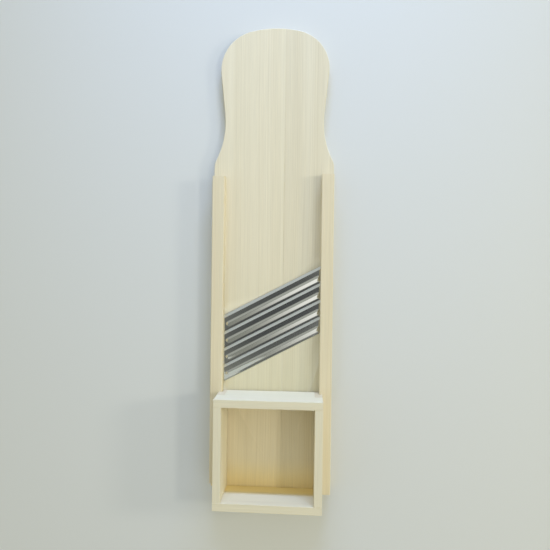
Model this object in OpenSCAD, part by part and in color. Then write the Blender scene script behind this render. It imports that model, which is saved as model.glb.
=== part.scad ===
// Cabbage cutter: a paddle-shaped wooden plane with a bank of slanted steel blades and a sliding box
// Lies on its back: +Z out of the cutting face, +Y towards the paddle head. Millimetres.

/* [Board] */
// Width of the board, which is also the width over the rails
board_w = 180; // [160:1:200]
// Length of the board from its square lower end to the top of the head
board_len = 692; // [650:1:740]
// Thickness of the board
board_t = 12; // [10:0.5:16]
// Glue seam between the two planks, to the right of the middle
seam_x = 16; // [-20:1:40]

/* [Paddle head] */
// Widest width of the head
head_w = 163; // [156:1:172]
// Distance from the top of the head down to its widest line
head_drop = 61; // [56:1:70]
// Radius of the flat arc across the top of the head
head_top_r = 150; // [130:1:200]
// Width of the neck at its narrowest
neck_w = 148; // [138:1:152]
// Distance from the top of the head down to the narrowest line
neck_drop = 141; // [130:1:150]
// Radius of the hollow at each side of the neck
neck_r = 125; // [105:1:140]
// Radius of the rounded shoulder below the neck
shoulder_r = 25; // [10:1:40]

/* [Rails] */
// Width of each rail
rail_w = 18; // [16:0.5:22]
// Height of each rail above the face of the board
rail_h = 15; // [11:0.5:20]
// Distance from the lower end of the board to the upper end of the left rail
left_rail_top = 468; // [440:1:480]
// Distance from the lower end of the board to the upper end of the right rail
right_rail_top = 471; // [440:1:480]
// Distance from the lower end of the board to the lower end of the left rail
left_rail_start = 10; // [0:0.5:15]
// Chamfer along the upper edges of the rails
rail_ease = 0.8; // [0.3:0.1:2]

/* [Blades] */
// Slant of the blades across the board, rising to the right
blade_slant = 27.8; // [22:0.2:32]
// Distance from the lower end of the board to the first cutting edge, on the middle line
bank_y = 298; // [285:0.5:320]
// Distance between neighbouring cutting edges, square to the blades
blade_pitch = 22.1; // [21.9:0.1:25]
// Width of a blade from its cutting edge to its back
blade_w = 21.4; // [20.5:0.1:21.8]
// Thickness of the blade steel
blade_t = 1; // [0.8:0.1:1.4]
// Width of the ground bevel behind the cutting edge
bevel_w = 3.8; // [2.5:0.1:5]
// Thickness left at the cutting edge
edge_t = 0.25; // [0.2:0.05:0.5]
// Tilt of a blade, which lifts its cutting edge
blade_rake = 7; // [6:0.5:12]
// Height of the cutting edges above the face of the board
edge_rise = 1.8; // [1.2:0.1:2.4]
// Least length of a blade that is let into each rail
blade_hold = 3.3; // [2:0.1:4]
// Clearance round a blade in its kerf
kerf_gap = 0.1; // [0.05:0.05:0.2]

/* [Stiffening beads] */
// Width of the bead pressed along a blade
bead_w = 8.8; // [7:0.1:9]
// Height of the bead above the blade
bead_h = 0.8; // [0.6:0.1:1.8]
// Distance from the cutting edge to the middle of the bead
bead_back = 15.1; // [13:0.1:15.2]
// Distance from a bead's rounded end to the rail, along the blade
bead_end_gap = 1.8; // [1.5:0.1:8]

/* [Window] */
// Overlap of the first cutting edge over the rim of the window, seen from above
edge_lap = 0.4; // [0:0.1:0.8]
// Gap between the last blade's back and the board below it, seen from above
tail_gap = 1; // [0.5:0.1:3]
// Angle at which the slanted sides of the window open towards the back
relief = 25; // [0:1:35]

/* [Box] */
// Length of the box along the rails
box_len = 156; // [140:1:170]
// Thickness of the walls of the box
wall_t = 11.2; // [9:0.1:14]
// Height of the rim of the box above the face of the board
rim_h = 60.5; // [50:0.5:80]
// Height of the half-lap in the corners above the face of the board
lap_h = 33; // [20:0.5:45]
// Width of rail that each side of the box sits on
rail_lap = 4.5; // [3.5:0.5:8]
// Clearance beside the lip of the box, to each rail
slide_gap = 0.7; // [0.3:0.1:1.5]
// Clearance between the step of the box and the rails
step_gap = 0.3; // [0.2:0.1:0.6]
// Clearance of the lip of the box above the cutting edges
lip_gap = 0.5; // [0.3:0.1:1.5]
// Length of the box that stands past the lower end of the board
box_overhang = 8.5; // [0:0.5:11]

/* [Nails] */
// Diameter of a nail's shank
nail_d = 2; // [1.6:0.1:2.5]
// Diameter of a nail's head
nail_head_d = 4.2; // [3.5:0.1:6]
// Thickness of a nail's head
nail_head_t = 1; // [0.6:0.1:1.5]
// Depth to which a nail's point goes into the rail
nail_bite = 10; // [6:0.5:10.5]
// Length of a nail's point
nail_point = 3; // [2:0.5:4]
// Clearance round a nail in its hole
nail_gap = 0.05; // [0.03:0.01:0.1]
// Distance of the outermost nails from the ends of a rail
nail_inset = 25; // [15:1:40]
// Distance of the inner nails from the blades
nail_clear = 22; // [16:1:30]

/* [Hidden] */
$fn = 96;
// How far a cut runs past what it cuts, and the angle between the points of a bead's round end
past = 1;
bead_end_step = 7.5;
blade_count = 4;

// The lower end of the board, so that the whole cutter is centred along Y
foot_y = (box_overhang - board_len) / 2;

// Middles of the arcs of the paddle's outline, on its right side
head_r = (2 * head_top_r * head_drop - head_drop ^ 2 - (head_w / 2) ^ 2) / (2 * head_top_r - head_w);
head_mid = [head_w / 2 - head_r, board_len - head_drop];
top_mid = [0, board_len - head_top_r];
neck_mid = [neck_w / 2 + neck_r, board_len - neck_drop];
shoulder_in = board_w / 2 - shoulder_r;
shoulder_fall = sqrt((neck_r + shoulder_r) ^ 2 - (neck_mid.x - shoulder_in) ^ 2);
shoulder_mid = [shoulder_in, neck_mid.y - shoulder_fall];

// Points where those arcs meet: the straight flank between head and neck touches both
neck_way = neck_mid - head_mid;
flank_angle = atan2(neck_way.y, neck_way.x) + acos((head_r + neck_r) / norm(neck_way));
flank_out = [cos(flank_angle), sin(flank_angle)];
flank_head = head_mid + head_r * flank_out;
flank_neck = neck_mid - neck_r * flank_out;
top_meet = top_mid + head_top_r * (head_mid - top_mid) / norm(head_mid - top_mid);
shoulder_meet = shoulder_mid + shoulder_r * (neck_mid - shoulder_mid) / (neck_r + shoulder_r);

// Rails and blades
rail_x = (board_w - rail_w) / 2;
bed_w = board_w - 2 * rail_w;
blade_len = (bed_w + 2 * blade_hold) / cos(blade_slant) + blade_w * tan(blade_slant);
blade_top = blade_t - edge_t;
blade_reach = blade_w * cos(blade_rake);
bank_depth = (blade_count - 1) * blade_pitch + blade_reach + tail_gap;
bead_r = ((bead_w / 2) ^ 2 + bead_h ^ 2) / (2 * bead_h);
bead_len = bed_w / cos(blade_slant) - 2 * bead_end_gap;
bead_axis = blade_top + bead_h - bead_r;

// The box, in heights above the face of the board
box_w = bed_w + 2 * rail_lap;
lip_x = bed_w / 2 - slide_gap;
lip_z = edge_rise + lip_gap;
step_z = rail_h + step_gap;

// Mirror images of a point: across the middle line of the board, and to the other end of a bead
function across(p) = [-p.x, p.y];
function across_end(p) = [p.x, -p.y];

// Where the first cutting edge crosses a line along the board at x
function bank_at(x) = bank_y + x * tan(blade_slant);

// Distances of the nails of one rail from the lower end of the board: side is -1 or 1
function nail_rows(side) = [
    nail_inset,
    bank_at(side * rail_x) - bank_depth / cos(blade_slant) - nail_clear,
    bank_at(side * rail_x) + nail_clear,
    (side < 0 ? left_rail_top : right_rail_top) - nail_inset
];

// Shapes measured from the lower end of the board
module from_foot() {
    translate([0, foot_y, 0]) children();
}

// Shapes measured from the first cutting edge: X along the blades, Y square to them, Z above the face
module from_bank() {
    from_foot() translate([0, bank_y, board_t]) rotate([0, 0, blade_slant]) children();
}

// A profile drawn in Y and Z, drawn out along X about the middle
module along_x(length) {
    rotate([90, 0, 90]) linear_extrude(length, center = true) children();
}

// A profile drawn in X and Z, drawn out along +Y
module along_y(length) {
    rotate([90, 0, 0]) mirror([0, 0, 1]) linear_extrude(length) children();
}

// Flat outline of the paddle
module paddle_outline() {
    side = [[board_w / 2, 0], [board_w / 2, shoulder_mid.y], shoulder_meet, flank_neck, flank_head, top_meet];
    other = [for (i = [len(side) - 1 : -1 : 0]) across(side[i])];
    difference() {
        union() {
            polygon(concat(side, other));
            for (s = [-1, 1]) {
                translate([s * shoulder_mid.x, shoulder_mid.y]) circle(shoulder_r);
                translate([s * head_mid.x, head_mid.y]) circle(head_r);
            }
            intersection() {
                translate(top_mid) circle(head_top_r);
                translate([-board_w / 2, top_meet.y]) square([board_w, head_drop]);
            }
        }
        for (s = [-1, 1])
            translate([s * neck_mid.x, neck_mid.y]) circle(neck_r);
    }
}

// The slanted window: its two long sides open towards the back so that the shreds fall free
module window() {
    widen = (board_t + past) * tan(relief);
    intersection() {
        from_bank() along_x(2 * board_w) polygon([
            [-edge_lap, past], [-edge_lap, 0], [widen - edge_lap, -board_t - past],
            [-bank_depth - widen, -board_t - past], [-bank_depth, 0], [-bank_depth, past]
        ]);
        from_foot() translate([-bed_w / 2, 0, -past]) cube([bed_w, board_len, board_t + 3 * past]);
    }
}

// Place of one blade: Y runs back from the cutting edge, Z off the blade
module at_blade(i) {
    edge_y = -(i - 1) * blade_pitch;
    shift = (edge_y - blade_reach / 2) * tan(blade_slant);
    from_bank() translate([shift, edge_y, edge_rise]) rotate([blade_rake, 0, 0]) children();
}

// Kerf that one blade slides into, through rail and board
module kerf(i) {
    kerf_len = blade_len + 2 * kerf_gap;
    at_blade(i) translate([-kerf_len / 2, -blade_w - kerf_gap, -edge_t - kerf_gap])
        cube([kerf_len, blade_w + 2 * kerf_gap, blade_t + 2 * kerf_gap]);
}

module kerfs() {
    for (i = [1 : blade_count]) kerf(i);
}

// Bar with round ends, as long as a bead, turned about the middle of the bead's arc
module bead_bar(r) {
    half = (bead_len - bead_w) / 2;
    end = [for (a = [0 : bead_end_step : 90]) [r * cos(a), half + r * sin(a)]];
    start = [for (i = [len(end) - 1 : -1 : 0]) across_end(end[i])];
    translate([0, -bead_back, bead_axis]) rotate([0, 90, 0]) rotate_extrude() polygon(concat(start, end));
}

module blade(i) {
    color("lightsteelblue") at_blade(i) difference() {
        union() {
            along_x(blade_len) polygon([
                [0, -edge_t], [0, 0], [-bevel_w, blade_top], [-blade_w, blade_top], [-blade_w, -edge_t]
            ]);
            intersection() {
                bead_bar(bead_r);
                translate([-blade_len / 2, -blade_w, 0]) cube([blade_len, blade_w, blade_top + bead_h + past]);
            }
        }
        bead_bar(bead_r - blade_t);
    }
}

// All nails as solids, or as their holes with a clearance round them
module nail_set(gap) {
    shank = board_t + nail_bite - nail_point;
    from_foot() for (side = [-1, 1]) for (y = nail_rows(side)) translate([side * rail_x, y, 0]) {
        cylinder(h = nail_head_t, d = nail_head_d + 2 * gap);
        cylinder(h = shank, d = nail_d + 2 * gap);
        translate([0, 0, shank]) cylinder(h = nail_point, d1 = nail_d + 2 * gap, d2 = 2 * gap);
    }
}

module rail_nails() {
    color("silver") nail_set(0);
}

// One plank of the board, between two lines along it
module plank(x_from, x_to) {
    color("wheat") difference() {
        from_foot() linear_extrude(board_t) intersection() {
            paddle_outline();
            translate([x_from, 0]) square([x_to - x_from, board_len]);
        }
        window();
        kerfs();
        nail_set(nail_gap);
    }
}

module left_plank() {
    plank(-board_w / 2, seam_x);
}

module right_plank() {
    plank(seam_x, board_w / 2);
}

// One rail: side is -1 or 1, start and stop are its ends
module rail(side, start, stop) {
    half = rail_w / 2;
    color("burlywood") difference() {
        from_foot() translate([side * rail_x, start, board_t]) along_y(stop - start) polygon([
            [-half, 0], [half, 0], [half, rail_h - rail_ease], [half - rail_ease, rail_h],
            [rail_ease - half, rail_h], [-half, rail_h - rail_ease]
        ]);
        kerfs();
        nail_set(nail_gap);
    }
}

module left_rail() {
    rail(-1, left_rail_start, left_rail_top);
}

module right_rail() {
    rail(1, 0, right_rail_top);
}

// Shapes measured from the outer lower end of the box and the face of the board
module from_box() {
    from_foot() translate([0, -box_overhang, board_t]) children();
}

// A side wall: stepped to ride on the rail, its upper half cut back for the end walls' laps
module side_wall(side) {
    outer = box_w / 2;
    inner = outer - wall_t;
    color("cornsilk") from_box() mirror([side < 0 ? 1 : 0, 0, 0]) difference() {
        along_y(box_len) polygon([
            [inner, lip_z], [lip_x, lip_z], [lip_x, step_z], [outer, step_z], [outer, rim_h], [inner, rim_h]
        ]);
        for (y = [-past, box_len - wall_t])
            translate([inner - past, y, lap_h]) cube([wall_t + 2 * past, wall_t + past, rim_h]);
    }
}

// An end wall: its upper half laps over the ends of the side walls
module end_wall(y) {
    outer = box_w / 2;
    inner = outer - wall_t;
    color("cornsilk") from_box() translate([0, y, 0]) along_y(wall_t) polygon([
        [-inner, lip_z], [inner, lip_z], [inner, lap_h], [outer, lap_h],
        [outer, rim_h], [-outer, rim_h], [-outer, lap_h], [-inner, lap_h]
    ]);
}

module box_upper_wall() {
    end_wall(box_len - wall_t);
}

module box_lower_wall() {
    end_wall(0);
}

module box_left_wall() {
    side_wall(-1);
}

module box_right_wall() {
    side_wall(1);
}

left_plank();
right_plank();
left_rail();
right_rail();
blade(1);  // blade_1
blade(2);  // blade_2
blade(3);  // blade_3
blade(4);  // blade_4
rail_nails();
box_upper_wall();
box_lower_wall();
box_left_wall();
box_right_wall();
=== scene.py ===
"""Looks of a wooden cabbage cutter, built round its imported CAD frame.

The wooden pieces are copies of the CAD solids with eased corners and a solid spruce grain. The blades
are new surfaces with a ground bevel and a pressed bead. Lengths are in metres, unless a name ends in
_mm or says otherwise.
"""

import math

import bmesh
import bpy
import numpy as np
from bpy.props import FloatProperty, FloatVectorProperty, PointerProperty
from mathutils import Euler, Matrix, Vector


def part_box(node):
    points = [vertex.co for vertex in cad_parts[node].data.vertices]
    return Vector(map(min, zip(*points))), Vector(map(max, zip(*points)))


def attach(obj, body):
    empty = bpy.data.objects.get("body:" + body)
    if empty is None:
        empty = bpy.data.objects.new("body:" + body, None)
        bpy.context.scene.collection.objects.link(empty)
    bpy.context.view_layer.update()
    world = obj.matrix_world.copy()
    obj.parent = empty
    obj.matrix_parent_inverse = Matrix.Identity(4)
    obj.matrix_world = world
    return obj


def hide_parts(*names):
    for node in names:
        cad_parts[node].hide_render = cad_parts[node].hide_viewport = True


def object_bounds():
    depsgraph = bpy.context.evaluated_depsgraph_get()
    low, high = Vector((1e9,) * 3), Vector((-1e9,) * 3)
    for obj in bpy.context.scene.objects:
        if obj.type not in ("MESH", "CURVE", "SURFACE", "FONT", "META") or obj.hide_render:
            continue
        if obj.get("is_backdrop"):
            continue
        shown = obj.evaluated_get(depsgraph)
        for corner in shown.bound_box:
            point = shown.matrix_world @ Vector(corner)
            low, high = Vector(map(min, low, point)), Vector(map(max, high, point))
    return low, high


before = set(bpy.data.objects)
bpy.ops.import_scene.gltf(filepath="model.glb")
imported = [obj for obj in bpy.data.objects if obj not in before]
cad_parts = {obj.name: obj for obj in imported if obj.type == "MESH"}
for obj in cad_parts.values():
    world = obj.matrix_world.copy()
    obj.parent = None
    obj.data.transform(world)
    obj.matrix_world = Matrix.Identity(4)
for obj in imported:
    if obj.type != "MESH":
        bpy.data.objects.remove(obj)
CAD_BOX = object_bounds()

bl_info = {
    "name": "Cabbage cutter",
    "version": (1, 0, 0),
    "blender": (4, 5, 0),
    "location": "View3D > Sidebar > Cutter",
    "description": "Dresses the cabbage cutter's CAD frame in spruce and steel and sets its stage",
    "category": "Object",
}

MM = 0.001

# Sockets of a Mix node by their place: factor, two numbers, two colours, and the output for colours
FACTOR = 0
NUMBER_A, NUMBER_B = 2, 3
COLOUR_A, COLOUR_B = 6, 7
MIXED = 2

# Copies of CAD solids: points are welded within a distance and flat faces joined within an angle
WELD = 1e-6
FLAT = math.radians(0.5)

# Folds sharper than these are corners on the wood, and crisp lines on the steel
WOOD_CORNER = math.radians(40)
STEEL_FOLD = math.radians(9.5)

# Easing of the planks: the share at the glued seam, how near a corner on the seam or the rim has to be,
# and how far below the rails' upper end the whole outline counts as rim
SEAM_EASE = 0.15
ON_SEAM = 0.01 * MM
ON_RIM = 0.1 * MM
ABOVE_RAILS = 5 * MM

# The rails' corners are eased down to this depth below their top
RAIL_ARRIS = 2 * MM

# Pith of each wooden piece: its place across the grain and its height, in millimetres
PITH = {
    "left_plank": (-260, -150),
    "right_plank": (230, -120),
    "left_rail": (-150, 170),
    "right_rail": (190, -140),
    "box_upper_wall": (140, 180),
    "box_lower_wall": (460, 150),
    "box_left_wall": (-190, -160),
    "box_right_wall": (210, 190),
}

# Pieces whose grain runs along X; on the others it runs along Y
CROSSWISE = ("box_upper_wall", "box_lower_wall")

# Spruce patterns, in millimetres across and along the grain
WANDER_MM = (130, 620)
BANDS_MM = (16, 1400)
FIBRES_MM = (0.9, 60)

# Good and lean years: their rate a millimetre, and the number of years by which they shift a line
SEASONS_PER_MM = 0.055
SEASON_SHIFT = 5.0

# A year's growth is pale up to the first part, darkest at the second and pale again at the third
PALE_UNTIL, DARKEST_AT, PALE_AGAIN = 0.25, 0.85, 0.99

# Depth of the faintest and of the strongest yearly line
LINE_DEPTH = (0.05, 0.50)

# Bands of tone: the range of noise that they use, their middle and their swing
BAND_NOISE = (0.3, 0.7)
BAND_MIDDLE, BAND_SWING = 0.15, 0.25

# Fibres: the range of noise that they use, and the tones that they give
FIBRE_NOISE = (0.25, 0.75)
FIBRE_TONE = (0.95, 1.04)

# End grain: how squarely a face cuts the fibres where it begins to show and where it shows in full,
# and its share there
END_FACING = (0.5, 0.9)
END_SHARE = 0.75

# Rails and box walls have weaker yearly lines than the board
STRIP_FIGURE = 0.45

# Painted falloff on the board: a tint that darkens it towards the foot, standing in for the falloff of the
# light from beyond the head, and is gone under the box, a painted lift of the shade there. Its share at
# the head, where it starts to grow as a share of the head's Y, and how far under the box it is gone
HEAD_PAINTED_FALLOFF = 0.42
PAINTED_FALLOFF_START = 0.1
PAINTED_LIFT_FADE = 20 * MM

# Painted glow in the foot of the box: a golden tint for the shade there and the warm light bounced between
# the board and the lower wall. Distances at which it is none and full, from the board's lower end or the
# wall's foot, and its share where full
BOARD_PAINTED_GLOW = (50 * MM, 8 * MM, 0.6)
WALL_PAINTED_GLOW = (26 * MM, 14 * MM, 0.85)

# Least and greatest roughness, as the fibres, scratches or mottles vary it
PLANED_WOOD = (0.52, 0.72)
POLISHED_STEEL = (0.06, 0.15)
GROUND_STEEL = (0.26, 0.42)
DRAWN_STEEL = (0.30, 0.50)

# Relief of the wood and the steel: strength and depth of the bump, and the share of the yearly lines
WOOD_BUMP = (0.35, 0.12 * MM)
STEEL_BUMP = (0.15, 0.02 * MM)
LINE_RELIEF = 0.6

# Marks on the steel per metre, along and across the strip: polishing lines are 0.3 mm apart, grinding
# scratches 0.4 mm, and the mottles of a nail head 0.6 mm. They are coarser than real ones, to show
POLISH_LINES = (25, 3300, 0)
GRINDING_SCRATCHES = (2500, 120, 0)
NAIL_MOTTLES = 1800.0

# Grid of a blade: margin round its bead, and steps over each stretch along and across the strip
BEAD_MARGIN = 0.7 * MM
END_STEPS, BEAD_END_STEPS, BEAD_STEPS = 3, 34, 12
BEVEL_STEPS, FLAT_STEPS, BEAD_CROSS_STEPS, BACK_STEPS = 4, 4, 48, 2

# Floor: half its side, and its height, just under the board
FLOOR_HALF = 4.0
FLOOR_LOW = -0.1 * MM

# Camera: width of its sensor, and the nearest distance that it sees
SENSOR_MM = 36.0
NEAREST_SEEN = 0.01

# Lamps: name, place, target, width and depth, spread in degrees, and the settings for power and colour
LAMPS = (
    ("Key", (1.572, 0.175, 1.757), (0.07, -0.05, 0.03), (0.20, 0.20), 180, "key_power", "key_colour"),
    ("Side", (2.218, 0.267, 1.05), (0.07, -0.05, 0.03), (0.30, 0.30), 180, "side_power", "key_colour"),
    ("Top strip", (0.10, 1.50, 0.50), (0, 0.14, 0.02), (0.9, 0.10), 60, "top_power", "top_colour"),
)

# The studio's light changes from foot to head between these values of a direction's Y
SKY_TURN = (-0.6, 0.7)

# Cards in the sky: setting for the colour, direction, reach along and square to the blades, soft edge
CARDS = (
    ("fill", (-0.80, 0.0, 0.60), (0.55, 0.80), 0.7),
    ("card", (0.483, -0.402, 0.778), (0.42, 0.44), 0.45),
    ("flag", (0.0745, -0.292, 0.954), (0.25, 0.11), 0.65),
)


def linear(hex_colour):
    """An sRGB hex colour as linear red, green and blue, by the sRGB standard's curve."""
    channels = np.array([int(hex_colour[i:i + 2], 16) for i in (1, 3, 5)]) / 255
    curve = ((channels + 0.055) / 1.055) ** 2.4
    return tuple(np.where(channels <= 0.04045, channels / 12.92, curve).tolist())


def add_node(tree, kind, sockets, **settings):
    """A new node with its settings; a socket's value is a number, a colour or another node's output."""
    node = tree.nodes.new(kind)
    for name, value in settings.items():
        setattr(node, name, value)
    for name, value in sockets.items():
        if isinstance(value, bpy.types.NodeSocket):
            tree.links.new(value, node.inputs[name])
        else:
            node.inputs[name].default_value = value
    return node


class CutterWoodSettings(bpy.types.PropertyGroup):
    """Sizes and colours of the raw spruce, and its painted falloff and painted glow."""

    ring_mm: FloatProperty(
        name="Ring width", description="Mean width of a year's growth, in millimetres",
        default=2.6, min=1.0, max=6.0)
    wander_mm: FloatProperty(
        name="Wander", description="How far the grain wanders from straight, in millimetres",
        default=5.0, min=0.0, max=20.0)
    ease: FloatProperty(
        name="Eased corners", description="Width of the sanding on the board's outline",
        default=1.0 * MM, unit="LENGTH", subtype="DISTANCE")
    wall_ease: FloatProperty(
        name="Eased arrises", description="Width of the sanding on rails and box walls",
        default=0.35 * MM, unit="LENGTH", subtype="DISTANCE")
    # Painted falloff: a tint that darkens the board towards the foot for the light from beyond the head,
    # left off under the box as a painted lift of its shade
    painted_falloff: FloatVectorProperty(
        name="Painted falloff", description="Tint of the open wood, which has darkened most just above the box",
        default=linear("#EFF3EF"), subtype="COLOR", size=3)
    # Painted glow: a golden tint for the shade in the foot of the box and the warm light bounced there
    painted_glow: FloatVectorProperty(
        name="Painted glow", description="Wood in the foot of the box, which has turned amber",
        default=linear("#F7DF9C"), subtype="COLOR", size=3)
    end_grain: FloatVectorProperty(
        name="End grain", description="Tint of the wood where its fibres are cut across",
        default=linear("#EFE5DA"), subtype="COLOR", size=3)
    # Partly the right plank's own tone and partly painted shade for the right rail's soft shadow on it
    right_tone_and_painted_shade: FloatProperty(
        name="Right plank", description="Tone of the right plank against the left one",
        default=0.955, min=0.7, max=1.2)
    board_early: FloatVectorProperty(
        name="Board, earlywood", description="Pale spring growth of the planks",
        default=linear("#E9DBB7"), subtype="COLOR", size=3)
    board_late: FloatVectorProperty(
        name="Board, latewood", description="Darker summer lines of the planks",
        default=linear("#DAC9A0"), subtype="COLOR", size=3)
    rail_early: FloatVectorProperty(
        name="Rails, earlywood", description="Pale spring growth of the rails",
        default=linear("#E1D3AC"), subtype="COLOR", size=3)
    rail_late: FloatVectorProperty(
        name="Rails, latewood", description="Darker summer lines of the rails",
        default=linear("#D2BF93"), subtype="COLOR", size=3)
    box_early: FloatVectorProperty(
        name="Box, earlywood", description="Pale spring growth of the box walls",
        default=linear("#E2D8B6"), subtype="COLOR", size=3)
    box_late: FloatVectorProperty(
        name="Box, latewood", description="Darker summer lines of the box walls",
        default=linear("#D4C7A2"), subtype="COLOR", size=3)


class CutterBladeSettings(bpy.types.PropertyGroup):
    """Sizes and finish of the blades.

    The strips have the CAD blades' sizes. A bead has straight flanks and a leaning crest, which stands up
    to 0.1 mm over the round bead of the CAD blade; its lower flank lies up to 0.4 mm under it.
    """

    width: FloatProperty(
        name="Width", description="From the cutting edge to the back of a blade",
        default=21.4 * MM, unit="LENGTH", subtype="DISTANCE")
    thickness: FloatProperty(
        name="Thickness", description="Thickness of the steel strip",
        default=1.0 * MM, unit="LENGTH", subtype="DISTANCE")
    edge: FloatProperty(
        name="Edge", description="Thickness left at the cutting edge",
        default=0.25 * MM, unit="LENGTH", subtype="DISTANCE")
    bevel: FloatProperty(
        name="Ground bevel", description="Width of the bevel behind the cutting edge",
        default=3.8 * MM, unit="LENGTH", subtype="DISTANCE")
    bead_width: FloatProperty(
        name="Bead width", description="Width of the pressed bead",
        default=8.8 * MM, unit="LENGTH", subtype="DISTANCE")
    bead_height: FloatProperty(
        name="Bead height", description="Height of the bead above the strip",
        default=0.8 * MM, unit="LENGTH", subtype="DISTANCE")
    bead_back: FloatProperty(
        name="Bead place", description="From the cutting edge to the middle of the bead",
        default=15.1 * MM, unit="LENGTH", subtype="DISTANCE")
    bead_end_gap: FloatProperty(
        name="Bead end", description="From a bead's round end to the rail",
        default=1.8 * MM, unit="LENGTH", subtype="DISTANCE")
    bead_crest: FloatProperty(
        name="Bead crest", description="Roundness of the bead's crest between its straight flanks",
        default=0.4 * MM, unit="LENGTH", subtype="DISTANCE")
    bead_lean: FloatProperty(
        name="Bead lean", description="From the middle of the bead to its crest, towards the edge",
        default=1.5 * MM, unit="LENGTH", subtype="DISTANCE")
    bead_foot: FloatProperty(
        name="Bead foot", description="From the middle of the bead to the foot of its lower flank",
        default=3.5 * MM, unit="LENGTH", subtype="DISTANCE")
    bead_blend: FloatProperty(
        name="Bead fillet", description="Softness of the fold at the foot of the bead",
        default=0.12 * MM, unit="LENGTH", subtype="DISTANCE")
    pitch: FloatProperty(
        name="Pitch", description="Between neighbouring cutting edges, square to the blades",
        default=22.1 * MM, unit="LENGTH", subtype="DISTANCE")
    hold: FloatProperty(
        name="Hold", description="Least length let into each rail",
        default=3.3 * MM, unit="LENGTH", subtype="DISTANCE")
    rise: FloatProperty(
        name="Rise", description="Height of the cutting edges above the board",
        default=1.8 * MM, unit="LENGTH", subtype="DISTANCE")
    bank: FloatProperty(
        name="Bank", description="From the lower end of the board to the first cutting edge",
        default=298.0 * MM, unit="LENGTH", subtype="DISTANCE")
    slant: FloatProperty(
        name="Slant", description="Slant of the blades across the board",
        default=math.radians(27.8), unit="ROTATION", subtype="ANGLE")
    rake: FloatProperty(
        name="Rake", description="Tilt that lifts the cutting edges",
        default=math.radians(7), unit="ROTATION", subtype="ANGLE")
    steel: FloatVectorProperty(
        name="Steel", description="Colour of the polished strip",
        default=linear("#CFD0CC"), subtype="COLOR", size=3)
    ground: FloatVectorProperty(
        name="Ground steel", description="Colour of the freshly ground bevel",
        default=linear("#E4E7E6"), subtype="COLOR", size=3)
    nail: FloatVectorProperty(
        name="Nail", description="Colour of the drawn wire nails",
        default=linear("#A9A9A6"), subtype="COLOR", size=3)


class CutterStageSettings(bpy.types.PropertyGroup):
    """Camera, floor and light."""

    eye: FloatVectorProperty(
        name="Camera", description="Place of the camera",
        default=(0.0494767, -0.0145657, 0.7402976), subtype="TRANSLATION", size=3)
    turn: FloatVectorProperty(
        name="Camera turn", description="Turn of the camera about X, Y and Z",
        default=(-0.0073, 0.0625, 0.0129), subtype="EULER", size=3)
    lens: FloatProperty(
        name="Lens", description="Focal length on a 36 mm sensor", default=31.748, unit="CAMERA")
    floor: FloatVectorProperty(
        name="Floor", description="Colour of the matt paper floor",
        default=linear("#D4D3C6"), subtype="COLOR", size=3)
    sky_head: FloatVectorProperty(
        name="Light beyond the head", description="Studio light from beyond the head",
        default=(0.62, 0.64, 0.59), subtype="COLOR", size=3)
    sky_foot: FloatVectorProperty(
        name="Light beyond the foot", description="Studio light from beyond the foot",
        default=(0.32, 0.33, 0.29), subtype="COLOR", size=3)
    flag: FloatVectorProperty(
        name="Dark flag", description="Dark card above the blades, seen in their flats",
        default=(0.08, 0.085, 0.09), subtype="COLOR", size=3)
    card: FloatVectorProperty(
        name="White card", description="White card at the lower right, seen in the beads",
        default=(1.30, 1.30, 1.24), subtype="COLOR", size=3, max=2.0)
    fill: FloatVectorProperty(
        name="Left card", description="Broad pale card at the left, which fills the shadows",
        default=(0.85, 0.90, 0.93), subtype="COLOR", size=3, max=2.0)
    key_power: FloatProperty(
        name="Key light", description="Lamp from the right", default=7.5, unit="POWER")
    side_power: FloatProperty(
        name="Side light", description="Low lamp from the right", default=12.0, unit="POWER")
    key_colour: FloatVectorProperty(
        name="Key colour", description="Colour of the lamps from the right",
        default=(1.0, 1.0, 0.97), subtype="COLOR", size=3)
    top_power: FloatProperty(
        name="Top light", description="Strip lamp beyond the head", default=4.0, unit="POWER")
    top_colour: FloatVectorProperty(
        name="Top colour", description="Blue colour of the strip lamp",
        default=(0.36, 0.52, 1.0), subtype="COLOR", size=3)


def eased_copy(name, node, width, shares):
    """A copy of a CAD solid with flat faces joined and its corners eased.

    shares(a, b) gives the share of the width for the corner between two points, from 0 to 1.
    """
    mesh = bpy.data.meshes.new(name)
    solid = bmesh.new()
    solid.from_mesh(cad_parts[node].data)
    bmesh.ops.remove_doubles(solid, verts=solid.verts, dist=WELD)
    bmesh.ops.dissolve_limit(solid, angle_limit=FLAT, verts=solid.verts, edges=solid.edges)
    weight = solid.edges.layers.float.new("bevel_weight_edge")
    for edge in solid.edges:
        if len(edge.link_faces) == 2 and edge.calc_face_angle() > WOOD_CORNER:
            edge[weight] = shares(edge.verts[0].co, edge.verts[1].co)
    for face in solid.faces:
        face.smooth = True
    solid.to_mesh(mesh)
    solid.free()
    mesh.set_sharp_from_angle(angle=WOOD_CORNER)
    piece = bpy.data.objects.new(name, mesh)
    bpy.context.scene.collection.objects.link(piece)
    easing = piece.modifiers.new("Eased corners", "BEVEL")
    easing.limit_method = "WEIGHT"
    easing.width = width
    easing.segments = 3
    easing.harden_normals = True
    easing.use_clamp_overlap = False
    return piece


def seat(piece, body, node):
    """The piece rides on its body and stands for its CAD node, which is hidden."""
    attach(piece, body)
    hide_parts(node)


def grain_scale(size_mm):
    """Scale of a pattern whose features have this size across and along the grain, which runs on Y."""
    across, along = size_mm
    return 1 / across, 1 / along, 1 / across


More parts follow.
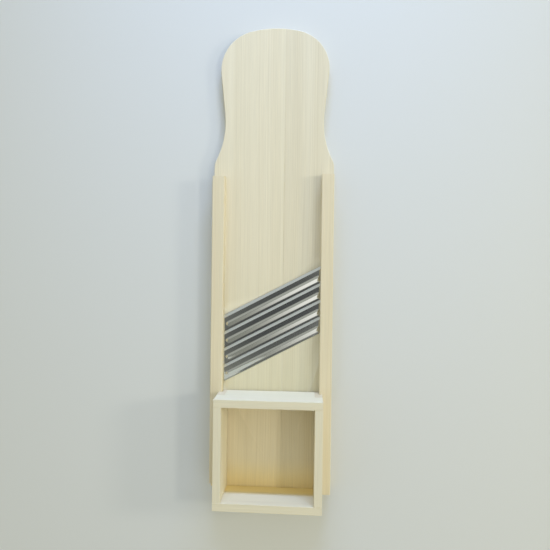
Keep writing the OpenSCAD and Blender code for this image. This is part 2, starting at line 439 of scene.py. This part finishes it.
def spruce(node, early, late, wood, painted_falloff=None, painted_glow=None, figure=1.0):
    """Raw planed spruce: pale, straight-grained, matt, with close yearly lines that run on round its edges.

    The years are cylinders about the pith, a line along the grain. A year's tone climbs from pale
    earlywood to a thin darker line and drops back. The ring width and the fibres are drawn a little
    coarser than on real spruce, so that they show. The painted falloff holds three places along Y: its
    tint, which darkens the wood as painted falloff of the light from beyond the head, has its head share
    at the first, is full at the second, and is gone at the third, under the box, as a painted lift of
    the shade there. The painted glow holds an axis, a place where it is none, a place where it is full,
    and its share there: a golden tint that stands in for the shade in the foot of the box and the warm
    light bounced there. The figure is the strength of the yearly lines against those of the board.
    """
    material = bpy.data.materials.new("Spruce " + node.replace("_", " "))
    material.use_nodes = True
    tree = material.node_tree
    shader = tree.nodes["Principled BSDF"]
    along_x = node in CROSSWISE
    pith = PITH[node]
    place = add_node(tree, "ShaderNodeTexCoord", {})
    turned = (0, 0, math.radians(90)) if along_x else (0, 0, 0)
    mm = add_node(tree, "ShaderNodeMapping", {
        "Vector": place.outputs["Object"], "Location": (-pith[0], 0, -pith[1]), "Rotation": turned,
        "Scale": (1 / MM, 1 / MM, 1 / MM)})
    # The slow wander of the grain
    slow = add_node(tree, "ShaderNodeVectorMath", {
        0: mm.outputs[0], 1: grain_scale(WANDER_MM)}, operation="MULTIPLY")
    drift = add_node(tree, "ShaderNodeTexNoise", {"Vector": slow.outputs[0], "Scale": 1.0, "Detail": 1.5})
    centred = add_node(tree, "ShaderNodeVectorMath", {
        0: drift.outputs["Color"], 1: (0.5, 0.5, 0.5)}, operation="SUBTRACT")
    wander = add_node(tree, "ShaderNodeVectorMath", {
        0: centred.outputs[0], "Scale": 2 * wood.wander_mm}, operation="SCALE")
    bent = add_node(tree, "ShaderNodeVectorMath", {
        0: mm.outputs[0], 1: wander.outputs[0]}, operation="ADD")
    across = add_node(tree, "ShaderNodeVectorMath", {
        0: bent.outputs[0], 1: (1, 0, 1)}, operation="MULTIPLY")
    radius = add_node(tree, "ShaderNodeVectorMath", {0: across.outputs[0]}, operation="LENGTH")
    # Good and lean years shift the spacing
    seasons = add_node(tree, "ShaderNodeMath", {
        0: radius.outputs["Value"], 1: SEASONS_PER_MM}, operation="MULTIPLY")
    lean = add_node(tree, "ShaderNodeTexNoise", {
        "W": seasons.outputs[0], "Scale": 1.0, "Detail": 1.0}, noise_dimensions="1D")
    shift = add_node(tree, "ShaderNodeMath", {0: lean.outputs[0], 1: SEASON_SHIFT}, operation="MULTIPLY")
    years = add_node(tree, "ShaderNodeMath", {
        0: radius.outputs["Value"], 1: 1 / wood.ring_mm, 2: shift.outputs[0]}, operation="MULTIPLY_ADD")
    part = add_node(tree, "ShaderNodeMath", {0: years.outputs[0]}, operation="FRACT")
    year = add_node(tree, "ShaderNodeMath", {0: years.outputs[0]}, operation="FLOOR")
    vigour = add_node(tree, "ShaderNodeTexWhiteNoise", {"W": year.outputs[0]}, noise_dimensions="1D")
    climb = add_node(tree, "ShaderNodeValToRGB", {"Fac": part.outputs[0]})
    pale, darkest = climb.color_ramp.elements
    pale.position, pale.color = PALE_UNTIL, (0, 0, 0, 1)
    darkest.position, darkest.color = DARKEST_AT, (1, 1, 1, 1)
    climb.color_ramp.elements.new(PALE_AGAIN).color = (0, 0, 0, 1)
    depth = add_node(tree, "ShaderNodeMapRange", {
        "Value": vigour.outputs["Value"],
        "To Min": LINE_DEPTH[0] * figure, "To Max": LINE_DEPTH[1] * figure})
    line = add_node(tree, "ShaderNodeMath", {
        0: climb.outputs["Color"], 1: depth.outputs[0]}, operation="MULTIPLY")
    # Broad bands of tone, and fibres
    broad = add_node(tree, "ShaderNodeVectorMath", {
        0: bent.outputs[0], 1: grain_scale(BANDS_MM)}, operation="MULTIPLY")
    bands = add_node(tree, "ShaderNodeTexNoise", {"Vector": broad.outputs[0], "Scale": 1.0, "Detail": 2.0})
    fine = add_node(tree, "ShaderNodeVectorMath", {
        0: bent.outputs[0], 1: grain_scale(FIBRES_MM)}, operation="MULTIPLY")
    fibres = add_node(tree, "ShaderNodeTexNoise", {"Vector": fine.outputs[0], "Scale": 1.0, "Detail": 2.0})
    tone = add_node(tree, "ShaderNodeMapRange", {
        "Value": bands.outputs[0], "From Min": BAND_NOISE[0], "From Max": BAND_NOISE[1],
        "To Min": BAND_MIDDLE - BAND_SWING * figure, "To Max": BAND_MIDDLE + BAND_SWING * figure})
    share = add_node(tree, "ShaderNodeMath", {
        0: line.outputs[0], 1: tone.outputs[0]}, operation="ADD", use_clamp=True)
    grain = add_node(tree, "ShaderNodeMix", {
        FACTOR: share.outputs[0], COLOUR_A: (*early, 1), COLOUR_B: (*late, 1)}, data_type="RGBA")
    body = grain.outputs[MIXED]
    spot = add_node(tree, "ShaderNodeSeparateXYZ", {0: place.outputs["Object"]})
    # Painted glow: golden towards the foot of the box, for its shade and the warm light bounced there
    if painted_glow:
        side, pale_at, glow_at, strength = painted_glow
        glow_share = add_node(tree, "ShaderNodeMapRange", {
            "Value": spot.outputs[side], "From Min": pale_at, "From Max": glow_at, "To Max": strength},
            interpolation_type="SMOOTHSTEP")
        golden = add_node(tree, "ShaderNodeMix", {
            FACTOR: glow_share.outputs[0], COLOUR_A: body, COLOUR_B: (*wood.painted_glow, 1)}, data_type="RGBA")
        body = golden.outputs[MIXED]
    # Painted falloff: darker towards the foot for the light from beyond the head, and paler under the box
    # as a painted lift of its shade
    if painted_falloff:
        falloff_start, full_at, lift_at = painted_falloff
        falloff_share = add_node(tree, "ShaderNodeMapRange", {
            "Value": spot.outputs["Y"], "From Min": falloff_start, "From Max": full_at, "To Min": HEAD_PAINTED_FALLOFF},
            interpolation_type="SMOOTHSTEP")
        above_box = add_node(tree, "ShaderNodeMapRange", {
            "Value": spot.outputs["Y"], "From Min": lift_at, "From Max": full_at},
            interpolation_type="SMOOTHSTEP")
        painted_falloff_share = add_node(tree, "ShaderNodeMath", {
            0: falloff_share.outputs[0], 1: above_box.outputs[0]}, operation="MULTIPLY")
        darkened = add_node(tree, "ShaderNodeMix", {
            FACTOR: painted_falloff_share.outputs[0], COLOUR_A: body, COLOUR_B: (*wood.painted_falloff, 1)},
            data_type="RGBA", blend_type="MULTIPLY")
        body = darkened.outputs[MIXED]
    # End grain drinks light: darker and deeper where the fibres meet the surface
    axis = (1, 0, 0) if along_x else (0, 1, 0)
    facing = add_node(tree, "ShaderNodeVectorMath", {
        0: place.outputs["Normal"], 1: axis}, operation="DOT_PRODUCT")
    cut = add_node(tree, "ShaderNodeMath", {0: facing.outputs["Value"]}, operation="ABSOLUTE")
    end = add_node(tree, "ShaderNodeMapRange", {
        "Value": cut.outputs[0], "From Min": END_FACING[0], "From Max": END_FACING[1], "To Max": END_SHARE},
        interpolation_type="SMOOTHSTEP")
    shown = add_node(tree, "ShaderNodeMix", {
        FACTOR: end.outputs[0], COLOUR_A: body, COLOUR_B: (*wood.end_grain, 1)},
        data_type="RGBA", blend_type="MULTIPLY")
    value = add_node(tree, "ShaderNodeMapRange", {
        "Value": fibres.outputs[0], "From Min": FIBRE_NOISE[0], "From Max": FIBRE_NOISE[1],
        "To Min": FIBRE_TONE[0], "To Max": FIBRE_TONE[1]})
    tint = add_node(tree, "ShaderNodeVectorMath", {
        0: shown.outputs[MIXED], "Scale": value.outputs[0]}, operation="SCALE")
    rough = add_node(tree, "ShaderNodeMapRange", {
        "Value": fibres.outputs[0], "To Min": PLANED_WOOD[0], "To Max": PLANED_WOOD[1]})
    relief = add_node(tree, "ShaderNodeMath", {
        0: line.outputs[0], 1: LINE_RELIEF, 2: fibres.outputs[0]}, operation="MULTIPLY_ADD")
    bump = add_node(tree, "ShaderNodeBump", {
        "Height": relief.outputs[0], "Strength": WOOD_BUMP[0], "Distance": WOOD_BUMP[1]})
    tree.links.new(tint.outputs[0], shader.inputs["Base Color"])
    tree.links.new(rough.outputs[0], shader.inputs["Roughness"])
    tree.links.new(bump.outputs[0], shader.inputs["Normal"])
    shader.inputs["IOR"].default_value = 1.5
    shader.inputs["Specular IOR Level"].default_value = 0.35
    return material


def blade_steel(blade):
    """Stainless steel strip, polished along its length, with a ground bevel of matt scratches.

    The polished flats and beads mirror the room in long streaks, and the bevel is a paler, softer line.
    The mesh attribute strip holds a point's place on the blade: along it and across from the edge.
    """
    material = bpy.data.materials.new("Polished stainless strip")
    material.use_nodes = True
    tree = material.node_tree
    shader = tree.nodes["Principled BSDF"]
    strip = add_node(tree, "ShaderNodeAttribute", {}, attribute_name="strip")
    spot = add_node(tree, "ShaderNodeSeparateXYZ", {0: strip.outputs["Vector"]})
    bevel = add_node(tree, "ShaderNodeMath", {0: spot.outputs["Y"], 1: blade.bevel}, operation="LESS_THAN")
    # Polishing lines run along the strip, and grinding scratches run off the edge
    lines = add_node(tree, "ShaderNodeVectorMath", {
        0: strip.outputs["Vector"], 1: POLISH_LINES}, operation="MULTIPLY")
    polish = add_node(tree, "ShaderNodeTexNoise", {
        "Vector": lines.outputs[0], "Scale": 1.0, "Detail": 2.0})
    strokes = add_node(tree, "ShaderNodeVectorMath", {
        0: strip.outputs["Vector"], 1: GRINDING_SCRATCHES}, operation="MULTIPLY")
    scratch = add_node(tree, "ShaderNodeTexNoise", {
        "Vector": strokes.outputs[0], "Scale": 1.0, "Detail": 2.0})
    marks = add_node(tree, "ShaderNodeMix", {
        FACTOR: bevel.outputs[0], NUMBER_A: polish.outputs[0], NUMBER_B: scratch.outputs[0]},
        data_type="FLOAT")
    sheen = add_node(tree, "ShaderNodeMapRange", {
        "Value": polish.outputs[0], "To Min": POLISHED_STEEL[0], "To Max": POLISHED_STEEL[1]})
    matt = add_node(tree, "ShaderNodeMapRange", {
        "Value": scratch.outputs[0], "To Min": GROUND_STEEL[0], "To Max": GROUND_STEEL[1]})
    rough = add_node(tree, "ShaderNodeMix", {
        FACTOR: bevel.outputs[0], NUMBER_A: sheen.outputs[0], NUMBER_B: matt.outputs[0]}, data_type="FLOAT")
    colour = add_node(tree, "ShaderNodeMix", {
        FACTOR: bevel.outputs[0], COLOUR_A: (*blade.steel, 1), COLOUR_B: (*blade.ground, 1)},
        data_type="RGBA")
    bump = add_node(tree, "ShaderNodeBump", {
        "Height": marks.outputs[0], "Strength": STEEL_BUMP[0], "Distance": STEEL_BUMP[1]})
    tree.links.new(colour.outputs[MIXED], shader.inputs["Base Color"])
    tree.links.new(rough.outputs[0], shader.inputs["Roughness"])
    tree.links.new(bump.outputs[0], shader.inputs["Normal"])
    shader.inputs["Metallic"].default_value = 1.0
    return material


def nail_steel(blade):
    """Bright drawn wire: grey steel with the faint mottling of a nail head, about 0.6 mm coarse."""
    material = bpy.data.materials.new("Drawn steel wire")
    material.use_nodes = True
    tree = material.node_tree
    shader = tree.nodes["Principled BSDF"]
    place = add_node(tree, "ShaderNodeTexCoord", {})
    mottle = add_node(tree, "ShaderNodeTexNoise", {
        "Vector": place.outputs["Object"], "Scale": NAIL_MOTTLES, "Detail": 3.0})
    rough = add_node(tree, "ShaderNodeMapRange", {
        "Value": mottle.outputs[0], "To Min": DRAWN_STEEL[0], "To Max": DRAWN_STEEL[1]})
    tree.links.new(rough.outputs[0], shader.inputs["Roughness"])
    shader.inputs["Base Color"].default_value = (*blade.nail, 1)
    shader.inputs["Metallic"].default_value = 1.0
    return material


def softer_max(a, b, blend):
    """The larger of two arrays, raised where they are closer than the blend.

    It is raised by a quarter of the blend times the square of the share by which they are closer.
    """
    near = np.clip(1 - np.abs(a - b) / blend, 0, 1)
    return np.maximum(a, b) + near * near * blend / 4


def grid_lines(*stops):
    """Grid lines from stops of (start, steps), each stretch in equal steps, ending at the last stop."""
    parts = [np.linspace(a, b, steps, endpoint=False) for (a, steps), (b, _) in zip(stops, stops[1:])]
    return np.concatenate([*parts, [stops[-1][0]]])


def blade_surface(blade, number):
    """Points of one blade's top and bottom grids, and their places along and across the strip.

    Across the strip the top climbs the bevel, then lies flat. The bead is a low ridge with round ends:
    at distance d from its line it falls by slope times (root of d squared plus crest squared, less
    crest), so its flanks are nearly straight and only its crest is round. The line leans from the
    bead's middle towards the cutting edge, and d is stretched on each side so that the flanks end at
    the bead's feet. The ridge is blended into the strip. The bottom is flat, and follows the ridge
    lower by the thickness. The blade is then tilted by the rake, turned by the slant and set on the
    board.
    """
    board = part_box("left_plank")
    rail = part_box("left_rail")
    bed = -2 * rail[1].x
    reach = blade.width * math.cos(blade.rake)
    length = (bed + 2 * blade.hold) / math.cos(blade.slant) + blade.width * math.tan(blade.slant)
    top = blade.thickness - blade.edge
    half = blade.bead_width / 2
    slope = blade.bead_height / (math.hypot(half, blade.bead_crest) - blade.bead_crest)
    bead_half = (bed / math.cos(blade.slant) - 2 * blade.bead_end_gap - blade.bead_width) / 2
    wide = half + BEAD_MARGIN
    along = grid_lines(
        (-length / 2, END_STEPS), (-bead_half - wide, BEAD_END_STEPS), (-bead_half, BEAD_STEPS),
        (bead_half, BEAD_END_STEPS), (bead_half + wide, END_STEPS), (length / 2, 0))
    across = grid_lines(
        (0, BEVEL_STEPS), (blade.bevel, FLAT_STEPS), (blade.bead_back - wide, BEAD_CROSS_STEPS),
        (blade.bead_back + wide, BACK_STEPS), (blade.width, 0))
    a, s = np.meshgrid(along, across, indexing="ij")
    aside = s - blade.bead_back + blade.bead_lean
    share = aside / np.where(aside > 0, blade.bead_foot + blade.bead_lean, half - blade.bead_lean)
    distance = np.hypot(half * share, np.maximum(np.abs(a) - bead_half, 0))
    ridge = top + blade.bead_height - slope * (np.hypot(distance, blade.bead_crest) - blade.bead_crest)
    upper = softer_max(np.minimum(top * s / blade.bevel, top), ridge, blade.bead_blend)
    lower = softer_max(np.full_like(a, -blade.edge), ridge - blade.thickness, blade.bead_blend)
    lower = np.minimum(lower, upper - blade.edge / 2)
    edge_y = -(number - 1) * blade.pitch
    shift = (edge_y - reach / 2) * math.tan(blade.slant)
    x = np.stack([a, a]) + shift
    y = np.stack([-s, -s])
    z = np.stack([upper, lower])
    y, z = (y * math.cos(blade.rake) - z * math.sin(blade.rake) + edge_y,
            y * math.sin(blade.rake) + z * math.cos(blade.rake) + blade.rise)
    points = np.stack([
        x * math.cos(blade.slant) - y * math.sin(blade.slant),
        x * math.sin(blade.slant) + y * math.cos(blade.slant) + board[0].y + blade.bank,
        z + board[1].z,
    ], axis=-1)
    places = np.stack([np.stack([a, a]), np.stack([s, s]), np.zeros_like(z)], axis=-1)
    return points, places


def closed_shell(name, points, places):
    """A closed mesh from a top and a bottom grid of the same shape, joined round their borders.

    Each grid cell is a face, the top's turned to look up, and each step round the border is a side face.
    """
    rows, columns = points.shape[1:3]
    upper, lower = np.arange(2 * rows * columns).reshape(2, rows, columns)

    def quads(grid):
        corners = [grid[:-1, :-1], grid[1:, :-1], grid[1:, 1:], grid[:-1, 1:]]
        return np.stack(corners, axis=-1).reshape(-1, 4)

    def border(grid):
        return np.concatenate([grid[0, :], grid[1:, -1], grid[-1, -2::-1], grid[-2:0:-1, 0]])

    above, below = border(upper), border(lower)
    sides = np.stack([above, np.roll(above, -1), np.roll(below, -1), below], axis=-1)
    faces = np.concatenate([quads(upper)[:, ::-1], quads(lower), sides])
    mesh = bpy.data.meshes.new(name)
    mesh.from_pydata(points.reshape(-1, 3).tolist(), [], faces.tolist())
    mesh.update()
    strip = mesh.attributes.new("strip", "FLOAT_VECTOR", "POINT")
    strip.data.foreach_set("vector", places.reshape(-1).astype(np.float32))
    mesh.polygons.foreach_set("use_smooth", np.ones(len(faces), dtype=bool))
    mesh.set_sharp_from_angle(angle=STEEL_FOLD)
    piece = bpy.data.objects.new(name, mesh)
    bpy.context.scene.collection.objects.link(piece)
    return piece


class CUTTER_OT_planks(bpy.types.Operator):
    """Dresses the two planks of the paddle-shaped board"""

    bl_idname = "cutter.planks"
    bl_label = "Dress the planks"

    def execute(self, context):
        wood = context.scene.cutter_wood
        low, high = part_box("left_plank")
        seam = high.x
        edge = -low.x - ON_RIM
        foot = low.y + ON_RIM
        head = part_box("left_rail")[1].y - ABOVE_RAILS
        box_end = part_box("box_upper_wall")[1].y
        # Painted falloff of the board's light towards the foot, and a painted lift of the shade under the
        # box
        painted_falloff = (high.y * PAINTED_FALLOFF_START, box_end, box_end - PAINTED_LIFT_FADE)
        # Painted glow on the board's lower end, for the shade in the box's foot and the warm light bounced
        # there
        pale, golden, strength = BOARD_PAINTED_GLOW
        painted_glow = ("Y", low.y + pale, low.y + golden, strength)

        def shares(a, b):
            if abs(a.x - seam) < ON_SEAM and abs(b.x - seam) < ON_SEAM:
                return SEAM_EASE
            rim = all(abs(p.x) > edge or p.y < foot or p.y > head for p in (a, b))
            return 1.0 if rim else 0.0

        # The right plank is darker: partly its own tone and partly painted shade for the right rail's soft
        # shadow
        for node, tone in (("left_plank", 1.0), ("right_plank", wood.right_tone_and_painted_shade)):
            piece = eased_copy(node.replace("plank", "board_plank"), node, wood.ease, shares)
            early = tuple(tone * channel for channel in wood.board_early)
            late = tuple(tone * channel for channel in wood.board_late)
            piece.data.materials.append(spruce(node, early, late, wood, painted_falloff=painted_falloff, painted_glow=painted_glow))
            seat(piece, "base", node)
        return {"FINISHED"}


class CUTTER_OT_rails(bpy.types.Operator):
    """Dresses the two rails and the nails that hold them"""

    bl_idname = "cutter.rails"
    bl_label = "Dress the rails"

    def execute(self, context):
        wood = context.scene.cutter_wood
        # Both rails have the same height
        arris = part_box("left_rail")[1].z - RAIL_ARRIS

        def shares(a, b):
            return 1.0 if min(a.z, b.z) > arris else 0.0

        for node in ("left_rail", "right_rail"):
            piece = eased_copy(node + "_strip", node, wood.wall_ease, shares)
            piece.data.materials.append(spruce(
                node, wood.rail_early, wood.rail_late, wood, figure=STRIP_FIGURE))
            seat(piece, "base", node)
        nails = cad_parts["rail_nails"]
        nails.data.materials.clear()
        nails.data.materials.append(nail_steel(context.scene.cutter_blade))
        return {"FINISHED"}


class CUTTER_OT_blades(bpy.types.Operator):
    """Makes the four beaded blades"""

    bl_idname = "cutter.blades"
    bl_label = "Make the blades"

    def execute(self, context):
        blade = context.scene.cutter_blade
        steel = blade_steel(blade)
        for number in (1, 2, 3, 4):
            piece = closed_shell(f"beaded_blade_{number}", *blade_surface(blade, number))
            piece.data.materials.append(steel)
            seat(piece, "base", f"blade_{number}")
        return {"FINISHED"}


class CUTTER_OT_box(bpy.types.Operator):
    """Dresses the four walls of the sliding box"""

    bl_idname = "cutter.box"
    bl_label = "Dress the box"

    def execute(self, context):
        wood = context.scene.cutter_wood
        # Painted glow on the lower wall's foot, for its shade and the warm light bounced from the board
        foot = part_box("box_lower_wall")[0].z
        pale, golden, strength = WALL_PAINTED_GLOW
        painted_glow = {"box_lower_wall": ("Z", foot + pale, foot + golden, strength)}
        for node in ("box_upper_wall", "box_lower_wall", "box_left_wall", "box_right_wall"):
            piece = eased_copy(node.replace("wall", "board"), node, wood.wall_ease, lambda a, b: 1.0)
            piece.data.materials.append(spruce(
                node, wood.box_early, wood.box_late, wood, painted_glow=painted_glow.get(node), figure=STRIP_FIGURE))
            seat(piece, "box", node)
        return {"FINISHED"}


class CUTTER_OT_stage(bpy.types.Operator):
    """Sets the camera, the paper floor, the lamps and the studio light"""

    bl_idname = "cutter.stage"
    bl_label = "Set the stage"

    def execute(self, context):
        scene = context.scene
        stage = scene.cutter_stage
        view = bpy.data.cameras.new("Camera")
        view.lens = stage.lens
        view.sensor_width = SENSOR_MM
        view.clip_start = NEAREST_SEEN
        camera = bpy.data.objects.new("Camera", view)
        camera.rotation_mode = "ZXY"
        camera.location = stage.eye
        camera.rotation_euler = Euler(stage.turn, "ZXY")
        scene.collection.objects.link(camera)
        scene.camera = camera
        self.floor(scene, stage)
        self.lamps(scene, stage)
        self.studio(scene, stage, scene.cutter_blade)
        scene.view_settings.view_transform = "Standard"
        return {"FINISHED"}

    def floor(self, scene, stage):
        """A plain floor of matt paper, which gives a soft even ground with no gloss."""
        x, y = FLOOR_HALF * np.array([(-1, 1, 1, -1), (-1, -1, 1, 1)])
        corners = np.stack([x, y, np.full(4, FLOOR_LOW)], axis=-1)
        mesh = bpy.data.meshes.new("Floor")
        mesh.from_pydata(corners.tolist(), [], [(0, 1, 2, 3)])
        floor = bpy.data.objects.new("Floor", mesh)
        scene.collection.objects.link(floor)
        floor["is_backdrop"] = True
        paper = bpy.data.materials.new("Matt paper")
        paper.use_nodes = True
        shader = paper.node_tree.nodes["Principled BSDF"]
        shader.inputs["Base Color"].default_value = (*stage.floor, 1)
        shader.inputs["Roughness"].default_value = 0.85
        shader.inputs["Specular IOR Level"].default_value = 0.2
        mesh.materials.append(paper)

    def lamps(self, scene, stage):
        """Two lamps from the right, and a narrow strip beyond the head."""
        for name, place, target, size, spread, power, colour in LAMPS:
            light = bpy.data.lights.new(name, "AREA")
            light.shape = "RECTANGLE"
            light.size, light.size_y = size
            light.spread = math.radians(spread)
            light.energy = getattr(stage, power)
            light.color = getattr(stage, colour)
            lamp = bpy.data.objects.new(name, light)
            lamp.location = place
            lamp.rotation_mode = "QUATERNION"
            lamp.rotation_quaternion = (Vector(target) - Vector(place)).to_track_quat("-Z", "Y")
            scene.collection.objects.link(lamp)

    def studio(self, scene, stage, blade):
        """Soft light that changes from foot to head, with the cards that the steel mirrors.

        A card is an oval round a direction, turned with the blades. It is full inside its soft edge.
        """
        world = bpy.data.worlds.new("Studio")
        world.use_nodes = True
        scene.world = world
        tree = world.node_tree
        place = add_node(tree, "ShaderNodeTexCoord", {})
        heading = add_node(tree, "ShaderNodeSeparateXYZ", {0: place.outputs["Generated"]})
        climb = add_node(tree, "ShaderNodeMapRange", {
            "Value": heading.outputs["Y"], "From Min": SKY_TURN[0], "From Max": SKY_TURN[1]},
            interpolation_type="SMOOTHSTEP")
        light = add_node(tree, "ShaderNodeMix", {
            FACTOR: climb.outputs[0], COLOUR_A: (*stage.sky_foot, 1), COLOUR_B: (*stage.sky_head, 1)},
            data_type="RGBA")
        for colour, direction, reach, edge in CARDS:
            oval = add_node(tree, "ShaderNodeMapping", {
                "Vector": place.outputs["Generated"], "Location": direction,
                "Rotation": (0, 0, blade.slant), "Scale": (*reach, 1.0)}, vector_type="TEXTURE")
            away = add_node(tree, "ShaderNodeVectorMath", {0: oval.outputs[0]}, operation="LENGTH")
            card = add_node(tree, "ShaderNodeMapRange", {
                "Value": away.outputs["Value"], "From Min": 1.0, "From Max": 1.0 - edge},
                interpolation_type="SMOOTHSTEP")
            light = add_node(tree, "ShaderNodeMix", {
                FACTOR: card.outputs[0], COLOUR_A: light.outputs[MIXED],
                COLOUR_B: (*getattr(stage, colour), 1)}, data_type="RGBA")
        tree.links.new(light.outputs[MIXED], tree.nodes["Background"].inputs["Color"])


class CUTTER_PT_sidebar(bpy.types.Panel):
    """Lists the steps that dress the cutter and set its stage"""

    bl_idname = "CUTTER_PT_sidebar"
    bl_label = "Cabbage cutter"
    bl_space_type = "VIEW_3D"
    bl_region_type = "UI"
    bl_category = "Cutter"

    def draw(self, context):
        for step in (CUTTER_OT_planks, CUTTER_OT_rails, CUTTER_OT_blades, CUTTER_OT_box, CUTTER_OT_stage):
            self.layout.operator(step.bl_idname)


CLASSES = (CutterWoodSettings, CutterBladeSettings, CutterStageSettings, CUTTER_OT_planks, CUTTER_OT_rails,
           CUTTER_OT_blades, CUTTER_OT_box, CUTTER_OT_stage, CUTTER_PT_sidebar)


def register():
    for cls in CLASSES:
        bpy.utils.register_class(cls)
    bpy.types.Scene.cutter_wood = PointerProperty(type=CutterWoodSettings)
    bpy.types.Scene.cutter_blade = PointerProperty(type=CutterBladeSettings)
    bpy.types.Scene.cutter_stage = PointerProperty(type=CutterStageSettings)


def unregister():
    del bpy.types.Scene.cutter_stage
    del bpy.types.Scene.cutter_blade
    del bpy.types.Scene.cutter_wood
    for cls in reversed(CLASSES):
        bpy.utils.unregister_class(cls)


def main():
    """Builds the cutter and its stage."""
    register()
    bpy.ops.cutter.planks()
    bpy.ops.cutter.rails()
    bpy.ops.cutter.blades()
    bpy.ops.cutter.box()
    bpy.ops.cutter.stage()
    boxes = {"cad": CAD_BOX, "visual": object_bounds()}
    {name: [list(corner) for corner in box] for name, box in boxes.items()}


if __name__ == "__main__":
    main()
